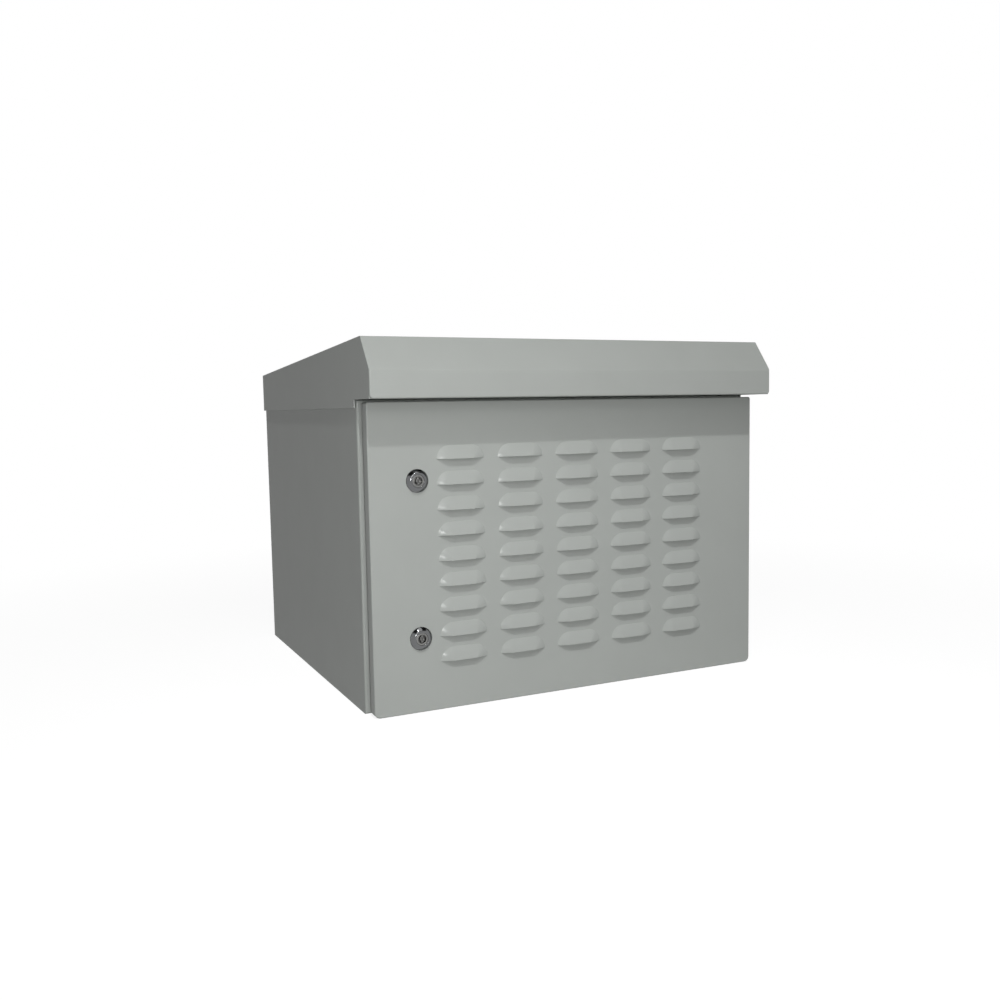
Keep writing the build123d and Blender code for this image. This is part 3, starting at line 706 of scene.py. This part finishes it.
@dataclass
class QuarterTurnLock:
    """A round quarter-turn lock: chromed housing in the door, and the insert that a key turns.

    The housing and the insert replace the CAD's, on the same axis. The nut, the cam and its screw
    are the CAD's.
    """

    level: str
    body: Body
    bezel_radius: float = 15 * MM
    crown_radius: float = 10.5 * MM
    rim_height: float = 1.2 * MM
    projection: float = 5 * MM
    crown_rounding: float = 1.1 * MM
    rim_rounding: float = 0.5 * MM
    mouth_rounding: float = 0.35 * MM
    barrel_radius: float = 11 * MM
    thread_pitch: float = 1.5 * MM
    thread_depth: float = 0.8 * MM
    thread_lead: float = 1.5
    plain_turns: int = 2
    insert_radius: float = 8 * MM
    insert_recess: float = 0.5 * MM
    insert_head: float = 12 * MM
    insert_rounding: float = 0.45 * MM
    shaft_radius: float = 6 * MM
    clearance: float = 0.05 * MM
    socket_radius: float = 5.6 * MM
    socket_depth: float = 7 * MM
    pin_radius: float = 2.4 * MM
    pin_setback: float = 1 * MM
    pin_rounding: float = 0.3 * MM
    pin_steps: int = 32
    bit_length: float = 9 * MM
    bit_width: float = 1.8 * MM
    tail_width: float = 7 * MM
    block_rounding: float = 0.25 * MM
    block_segments: int = 2

    def __post_init__(self) -> None:
        """Reads the lock's axis and depths from the CAD nodes."""
        low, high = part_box(f"lock_housing_{self.level}")
        self.axis_point = Vector(((low.x + high.x) / 2, low.y, (low.z + high.z) / 2))
        self.housing_length = high.y - low.y
        self.insert_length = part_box(f"lock_insert_{self.level}")[1].y - low.y

    def build_housing(self) -> bpy.types.Object:
        """Turns the housing: sloped bezel with soft rims, and a threaded barrel behind the door sheet."""
        face = self.projection
        back = self.housing_length
        bore = self.insert_radius + self.clearance
        throat = self.shaft_radius + self.clearance
        shoulder = self.insert_recess + self.insert_head + self.clearance
        section = [
            (bore, 0.0),
            (self.crown_radius, 0.0),
            (self.bezel_radius, face - self.rim_height),
            (self.bezel_radius, face),
            (self.barrel_radius, face),
        ]
        flat = self.thread_pitch / 8
        for turn in range(int((back - face) / self.thread_pitch) - self.plain_turns):
            crest = face + self.thread_pitch * (turn + self.thread_lead)
            section += [
                (self.barrel_radius, crest - flat),
                (self.barrel_radius - self.thread_depth, crest + self.thread_pitch / 2),
                (self.barrel_radius, crest + self.thread_pitch - flat),
            ]
        section += [(self.barrel_radius, back), (throat, back), (throat, shoulder), (bore, shoulder)]
        turned = Turned(tuple(section), self.axis_point, DEPTH_AXIS, closed=True)
        shape = bmesh.new()
        turned.spin_into(
            shape,
            {
                (self.crown_radius, 0.0): self.crown_rounding,
                (self.bezel_radius, face - self.rim_height): self.rim_rounding,
                (bore, 0.0): self.mouth_rounding,
            },
        )
        name = f"lock_bezel_{self.level}"
        housing = finished_piece(shape, name, CHROME, Body.DOOR)
        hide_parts(f"lock_housing_{self.level}")
        return housing

    def build_insert(self) -> bpy.types.Object:
        """Turns the insert: rounded rim, socket, and in it the double-bit pin that a key fits over."""
        front = self.insert_recess
        floor = front + self.socket_depth
        shoulder = front + self.insert_head
        tail = self.housing_length + self.clearance
        section = (
            (0.0, floor),
            (self.socket_radius, floor),
            (self.socket_radius, front),
            (self.insert_radius, front),
            (self.insert_radius, shoulder),
            (self.shaft_radius, shoulder),
            (self.shaft_radius, tail),
            (0.0, tail),
        )
        shape = bmesh.new()
        Turned(section, self.axis_point, DEPTH_AXIS).spin_into(
            shape,
            {
                (self.insert_radius, front): self.insert_rounding,
                (self.socket_radius, front): self.mouth_rounding,
            },
        )
        pin_length = self.socket_depth - self.pin_setback
        pin_start = front + self.pin_setback
        pin_section = ((self.pin_radius, pin_length), (self.pin_radius, 0.0), (0.0, 0.0))
        pin_origin = self.axis_point + DEPTH_AXIS * pin_start
        pin = bmesh.new()
        Turned(pin_section, pin_origin, DEPTH_AXIS, steps=self.pin_steps).spin_into(
            pin, {(self.pin_radius, 0.0): self.pin_rounding}
        )
        self._join(shape, pin)
        bits = self._block((self.bit_width, pin_length, self.bit_length), pin_start)
        self._join(shape, bits)
        tail_size = (self.tail_width, self.insert_length - tail, self.tail_width)
        self._join(shape, self._block(tail_size, tail))
        name = f"lock_key_insert_{self.level}"
        insert = finished_piece(shape, name, NICKEL, self.body)
        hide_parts(f"lock_insert_{self.level}")
        return insert

    def _block(self, size: tuple[float, float, float], depth: float) -> bmesh.types.BMesh:
        """Makes a block on the lock's axis that starts at a depth, with its edges rounded.

        Args:
            size: Width, depth and height.
            depth: Where its front face lies, from the bezel's front.

        Returns:
            The block.
        """
        block = bmesh.new()
        centre = self.axis_point + DEPTH_AXIS * (depth + size[1] / 2)
        stretch = Matrix.Diagonal((*size, 1.0))
        bmesh.ops.create_cube(block, size=1.0, matrix=Matrix.Translation(centre) @ stretch)
        round_off(block, block.edges[:], self.block_rounding, self.block_segments)
        return block

    @staticmethod
    def _join(shape: bmesh.types.BMesh, other: bmesh.types.BMesh) -> None:
        """Adds another bmesh to a shape and frees it."""
        mesh = bpy.data.meshes.new("joined_form")
        other.to_mesh(mesh)
        other.free()
        shape.from_mesh(mesh)
        bpy.data.meshes.remove(mesh)


@dataclass
class FrameSeal:
    """A soft strip laid in a rectangle: a domed, foamed seal or a clamped flat gasket."""

    name: str
    node: str
    body: Body
    finish: Finish
    slot: Slot
    strip_width: float
    corner_radius: float
    dome: float
    normal: Vector
    corner_segments: int = 8
    dome_segments: int = 5

    def build(self) -> bpy.types.Object:
        """Draws the strip's outline, insets it to a ring, thickens it and domes its free face."""
        low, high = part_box(self.node)
        thickness = abs((high - low).dot(self.normal))
        shape = bmesh.new()
        sheet = shape.faces.new([shape.verts.new(corner) for corner in self._corners(low, high)])
        round_off(shape, sheet.verts[:], self.corner_radius, self.corner_segments, affect="VERTICES")
        middle = shape.faces[:]
        bmesh.ops.inset_region(
            shape, faces=middle, thickness=self.strip_width, use_boundary=True, use_even_offset=True
        )
        bmesh.ops.delete(shape, geom=middle, context="FACES")
        raised = bmesh.ops.extrude_face_region(shape, geom=shape.faces[:])
        lifted = [part for part in raised["geom"] if isinstance(part, bmesh.types.BMVert)]
        bmesh.ops.translate(shape, verts=lifted, vec=self.normal * thickness)
        top = set(lifted)
        rims = [
            edge
            for edge in shape.edges
            if all(v in top for v in edge.verts) and edge.calc_face_angle(0.0) > RIM_ANGLE
        ]
        round_off(shape, rims, self.dome, self.dome_segments)
        seal = finished_piece(shape, self.name, self.finish, self.body)
        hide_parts(self.node)
        return seal

    def _corners(self, low: Vector, high: Vector) -> list[Vector]:
        """Gives the corners of the strip's outline, all at the depth of the node's first side.

        Args:
            low: The node's lowest corner.
            high: The node's highest corner.

        Returns:
            The four corners, in order round the outline.
        """
        flat_axis = max(range(3), key=lambda axis: abs(self.normal[axis]))
        corners = []
        for across, along in ((low, low), (high, low), (high, high), (low, high)):
            corner = along.copy()
            corner.x = across.x
            corner[flat_axis] = low[flat_axis]
            corners.append(corner)
        return corners


@dataclass
class FleeceMat:
    """The filter mat behind the louvres: a fleece that swells through each window of its frame."""

    node: str = "filter_mat"
    windows_x: int = 7
    windows_z: int = 5
    border: float = 10 * MM
    bar: float = 8 * MM
    swell: float = 0.7 * MM
    squeeze: float = 0.5 * MM
    front_setback: float = 0.2 * MM
    fullness: float = 0.6
    steps: int = 6
    sharp_angle: float = 60.0

    def build(self) -> bpy.types.Object:
        """Cuts the mat into a cell for each window and lets the free faces swell between the bars."""
        low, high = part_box(self.node)
        size = high - low
        centre = (low + high) / 2
        shape = bmesh.new()
        across = self.windows_x * self.steps
        up = self.windows_z * self.steps
        upright = Matrix.Rotation(math.radians(90), 4, "X")
        stretch = Matrix.Diagonal((size.x / 2, size.z / 2, 1.0, 1.0))
        for face_y, sign in ((low.y, -1.0), (high.y, 1.0)):
            place = Matrix.Translation((centre.x, face_y, centre.z)) @ upright @ stretch
            made = bmesh.ops.create_grid(
                shape, x_segments=across, y_segments=up, size=1.0, matrix=place
            )
            for vertex in made["verts"]:
                vertex.co.y += sign * self._rise(vertex.co, low, high, sign)
        edge_loops = [edge for edge in shape.edges if edge.is_boundary]
        bmesh.ops.bridge_loops(shape, edges=edge_loops)
        mat = finished_piece(
            shape, "filter_fleece_mat", FLEECE, Body.DOOR, self.sharp_angle
        )
        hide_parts(self.node)
        return mat

    def _rise(self, point: Vector, low: Vector, high: Vector, sign: float) -> float:
        """How far a point of a face stands out from the CAD's face.

        Args:
            point: The point.
            low: The mat's lowest corner.
            high: The mat's highest corner.
            sign: 1 on the frame's side and -1 on the louvres' side.

        Returns:
            The rise in metres, negative where a bar or the edge presses the fleece in.
        """
        pitch_x = (high.x - low.x - 2 * self.border + self.bar) / self.windows_x
        pitch_z = (high.z - low.z - 2 * self.border + self.bar) / self.windows_z
        middle = (low + high) / 2
        u = (point.x - middle.x) / pitch_x + self.windows_x / 2
        w = (point.z - middle.z) / pitch_z + self.windows_z / 2
        crown = abs(math.sin(math.pi * u)) * abs(math.sin(math.pi * w))
        if sign < 0:
            return -self.squeeze * (1 - crown) - self.front_setback
        return self.swell * crown**self.fullness - self.squeeze * (1 - crown)


@dataclass
class CableGrommets:
    """Three moulded rubber rings in the gland plate, each with soft round rims."""

    node: str = "cable_grommets"
    count: int = 3
    pitch: float = 85 * MM
    bore: float = 12 * MM
    neck: float = 15 * MM
    rim: float = 19 * MM
    rim_thickness: float = 2.4 * MM
    rim_rounding: float = 0.9 * MM
    bore_rounding: float = 0.7 * MM
    steps: int = 48

    def build(self) -> bpy.types.Object:
        """Turns each ring and rounds its rims."""
        low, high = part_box(self.node)
        centre = (low + high) / 2
        height = high.z - low.z
        shape = bmesh.new()
        upper = height - self.rim_thickness
        section = (
            (self.bore, 0.0),
            (self.rim, 0.0),
            (self.rim, self.rim_thickness),
            (self.neck, self.rim_thickness),
            (self.neck, upper),
            (self.rim, upper),
            (self.rim, height),
            (self.bore, height),
        )
        rims = {
            (self.rim, 0.0): self.rim_rounding,
            (self.rim, height): self.rim_rounding,
            (self.bore, 0.0): self.bore_rounding,
            (self.bore, height): self.bore_rounding,
        }
        for place in range(self.count):
            offset = (place - (self.count - 1) / 2) * self.pitch
            origin = Vector((centre.x + offset, centre.y, low.z))
            turned = Turned(section, origin, UP_AXIS, steps=self.steps, closed=True)
            turned.spin_into(shape, rims)
        grommets = finished_piece(shape, "rubber_grommets", RUBBER, Body.CABINET)
        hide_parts(self.node)
        return grommets


@dataclass
class SheetMetal:
    """The CAD's own folded sheets and hardware, which only need their finishes."""

    galvanised: tuple[str, ...] = ("rail_channel", "rack_rail", "gland_plate", "filter_frame")
    zinc_plated: tuple[str, ...] = (
        "hood_bolts",
        "hood_nuts",
        "gland_plate_screws",
        "rail_screws",
        "rail_nuts",
        "body_earth",
        "door_earth",
        "filter_studs",
        "filter_nuts",
        "lock_nut",
        "lock_cam",
        "hinge_",
    )

    def finish_for(self, node: str) -> Finish:
        """Chooses the finish of a CAD node by its name."""
        if any(node.startswith(start) for start in self.zinc_plated):
            return ZINC
        if any(node.startswith(start) for start in self.galvanised):
            return GALVANISED
        return POWDER_COAT

    def dress(self, nodes: dict[str, bpy.types.Object]) -> None:
        """Gives every CAD node that still shows its finish.

        Args:
            nodes: The frame's nodes by name.
        """
        for name, node in nodes.items():
            finish = self.finish_for(name)
            for slot in node.material_slots:
                slot.material = finish.material()
            log.info("%s: %s", name, finish.name)


@dataclass
class Lamp:
    """One soft area lamp that faces the cabinet."""

    name: str
    place: Vector
    size: float
    power: float
    target: Vector = field(default_factory=lambda: Vector((0.0, -0.2, 0.22)))

    def build(self) -> bpy.types.Object:
        """Makes the lamp and turns it to its target."""
        light = bpy.data.lights.new(self.name, "AREA")
        light.shape = "DISK"
        light.size = self.size
        light.energy = self.power
        lamp = bpy.data.objects.new(self.name, light)
        lamp.location = self.place
        lamp.rotation_euler = (self.target - self.place).to_track_quat("-Z", "Y").to_euler()
        bpy.context.scene.collection.objects.link(lamp)
        return lamp


@dataclass
class Studio:
    """Plain pale studio: white sweep, one key that draws the hood's shadow, and soft fill."""

    floor_size: float = 12.0
    floor_colour: str = "#CCCCCC"
    shadow_colour: str = "#9C9C9C"
    floor_glow: float = 0.86
    fade_start: float = 0.55
    fade_end: float = 1.6
    key_elevation: float = 59.0
    key_azimuth: float = 13.0
    key_strength: float = 0.94
    key_angle: float = 2.2
    ceiling_start: float = 0.5
    ceiling_full: float = 0.65
    ceiling_white: float = 0.04

    def build(self) -> None:
        """Makes the floor, the world, the key and the fill."""
        self.build_floor()
        self.build_world()
        self.build_key()
        for lamp in self.lamps():
            lamp.build()
        log.info("studio built")

    @staticmethod
    def lamps() -> tuple[Lamp, ...]:
        """Lists the fill lamps: two soft boxes and a flash beside the camera."""
        return (
            Lamp(
                name="high_softbox",
                place=Vector((0.05, -1.05, 1.50)),
                size=0.8,
                power=2.4,
                target=Vector((0.0, -0.25, 0.25)),
            ),
            Lamp(
                name="front_softbox",
                place=Vector((-0.42, -0.95, 0.70)),
                size=0.4,
                power=1.2,
                target=Vector((-0.1, -0.25, 0.25)),
            ),
            Lamp(name="camera_flash", place=Vector((-0.72, -1.70, 0.45)), size=0.3, power=6.0),
        )

    def build_floor(self) -> None:
        """Makes the floor, whose white goes over to the backdrop's away from the cabinet."""
        shape = bmesh.new()
        bmesh.ops.create_grid(shape, x_segments=1, y_segments=1, size=self.floor_size / 2)
        mesh = bpy.data.meshes.new("studio_floor")
        shape.to_mesh(mesh)
        shape.free()
        material = bpy.data.materials.new("white_sweep")
        material.use_nodes = True
        tree = material.node_tree
        tree.nodes.clear()
        reach = add_node(
            tree, "ShaderNodeVectorMath", {"operation": "LENGTH"}, {0: object_place(tree)}
        )
        fade = add_node(
            tree,
            "ShaderNodeMapRange",
            {"interpolation_type": "SMOOTHSTEP"},
            {
                "Value": reach.outputs["Value"],
                "From Min": self.fade_start,
                "From Max": self.fade_end,
            },
        )
        matt = self._matt(tree, self.floor_colour)
        shadow = self._matt(tree, self.shadow_colour)
        glow = add_node(tree, "ShaderNodeEmission", inputs={"Strength": self.floor_glow})
        near = add_node(
            tree, "ShaderNodeAddShader", inputs={0: shadow.outputs[0], 1: glow.outputs[0]}
        )
        far = add_node(tree, "ShaderNodeEmission", inputs={"Strength": 1.0})
        shown = self._mixed(tree, fade.outputs[0], near, far)
        sweep = self._mixed(tree, self._seen_directly(tree), matt, shown)
        add_node(tree, "ShaderNodeOutputMaterial", inputs={"Surface": sweep.outputs[0]})
        mesh.materials.append(material)
        floor = bpy.data.objects.new("studio_floor", mesh)
        bpy.context.scene.collection.objects.link(floor)

    @staticmethod
    def _matt(tree: bpy.types.NodeTree, colour: str) -> bpy.types.Node:
        """Adds a matt shader of a colour written "#RRGGBB"."""
        return add_node(tree, "ShaderNodeBsdfDiffuse", inputs={"Color": linear_colour(colour)})

    @staticmethod
    def _mixed(
        tree: bpy.types.NodeTree,
        amount: bpy.types.NodeSocket,
        first: bpy.types.Node,
        second: bpy.types.Node,
    ) -> bpy.types.Node:
        """Adds a mix of two shaders.

        Args:
            tree: The node tree.
            amount: 0 for the first shader and 1 for the second.
            first: The first shader.
            second: The second shader.

        Returns:
            The mix.
        """
        inputs = {0: amount, 1: first.outputs[0], 2: second.outputs[0]}
        return add_node(tree, "ShaderNodeMixShader", inputs=inputs)

    @staticmethod
    def _seen_directly(tree: bpy.types.NodeTree) -> bpy.types.NodeSocket:
        """Adds the nodes that are 1 for what the camera sees, directly or in metal or glass."""
        path = add_node(tree, "ShaderNodeLightPath").outputs
        mirrored = combine(tree, "MAXIMUM", path["Is Glossy Ray"], path["Is Transmission Ray"])
        return combine(tree, "MAXIMUM", path["Is Camera Ray"], mirrored)

    def build_world(self) -> None:
        """Makes the backdrop, which only shows and gives no light: white walls under a dark ceiling."""
        world = bpy.data.worlds.new("studio_backdrop")
        world.use_nodes = True
        bpy.context.scene.world = world
        tree = world.node_tree
        tree.nodes.clear()
        direction = add_node(tree, "ShaderNodeTexCoord").outputs["Generated"]
        height = add_node(tree, "ShaderNodeSeparateXYZ", inputs={0: direction}).outputs["Z"]
        ceiling = (self.ceiling_start, self.ceiling_full)
        wall = spread(tree, height, ceiling, (1.0, self.ceiling_white))
        strength = combine(tree, "MULTIPLY", self._seen_directly(tree), wall)
        inputs = {"Color": WHITE, "Strength": strength}
        backdrop = add_node(tree, "ShaderNodeBackground", inputs=inputs)
        add_node(tree, "ShaderNodeOutputWorld", inputs={"Surface": backdrop.outputs[0]})

    def build_key(self) -> None:
        """Makes the key, high in front and a little to the left."""
        light = bpy.data.lights.new("key", "SUN")
        light.energy = self.key_strength
        light.angle = math.radians(self.key_angle)
        key = bpy.data.objects.new("key", light)
        rise = math.radians(self.key_elevation)
        side = math.radians(self.key_azimuth)
        level = math.cos(rise)
        source = Vector((-math.sin(side) * level, -math.cos(side) * level, math.sin(rise)))
        key.rotation_euler = source.to_track_quat("Z", "Y").to_euler()
        bpy.context.scene.collection.objects.link(key)


@dataclass
class Viewpoint:
    """The photograph's camera: left of the door and a little above its middle."""

    place: Vector = field(default_factory=lambda: Vector((-0.6724, -1.4237, 0.3881)))
    right: Vector = field(default_factory=lambda: Vector((0.90212, -0.43113, -0.01773)))
    up: Vector = field(default_factory=lambda: Vector((0.05538, 0.07496, 0.99565)))
    forward: Vector = field(default_factory=lambda: Vector((0.42793, 0.89917, -0.09150)))
    lens: float = 35.517
    sensor: float = 36.0

    def build(self) -> bpy.types.Object:
        """Makes the camera and sets it as the scene's."""
        data = bpy.data.cameras.new("photo_view")
        data.sensor_fit = "HORIZONTAL"
        data.sensor_width = self.sensor
        data.lens = self.lens
        camera = bpy.data.objects.new("photo_view", data)
        turn = Matrix((self.right, self.up, -self.forward)).transposed().to_4x4()
        camera.matrix_world = Matrix.Translation(self.place) @ turn
        bpy.context.scene.collection.objects.link(camera)
        bpy.context.scene.camera = camera
        return camera


def main() -> None:
    """Builds the studio and the pieces in order."""
    logging.basicConfig(level=logging.INFO, format="%(name)s: %(message)s")
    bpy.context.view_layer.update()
    bpy.context.scene.view_settings.view_transform = "Standard"
    Viewpoint().build()
    Studio().build()
    SheetMetal().dress(frame["nodes"])
    for level, body in (("lower", Body.LOCK_LOWER), ("upper", Body.LOCK_UPPER)):
        lock = QuarterTurnLock(level, body)
        lock.build_housing()
        lock.build_insert()
    FrameSeal(
        name="foamed_door_seal",
        node="door_gasket",
        body=Body.DOOR,
        finish=FOAM,
        slot=Slot.RUBBER,
        strip_width=12 * MM,
        corner_radius=12 * MM,
        dome=4 * MM,
        normal=DEPTH_AXIS,
    ).build()
    FrameSeal(
        name="clamped_gland_gasket",
        node="gland_plate_gasket",
        body=Body.CABINET,
        finish=RUBBER,
        slot=Slot.RUBBER,
        strip_width=18 * MM,
        corner_radius=8 * MM,
        dome=0.5 * MM,
        normal=UP_AXIS,
    ).build()
    FleeceMat().build()
    CableGrommets().build()


if __name__ == "__main__":
    main()
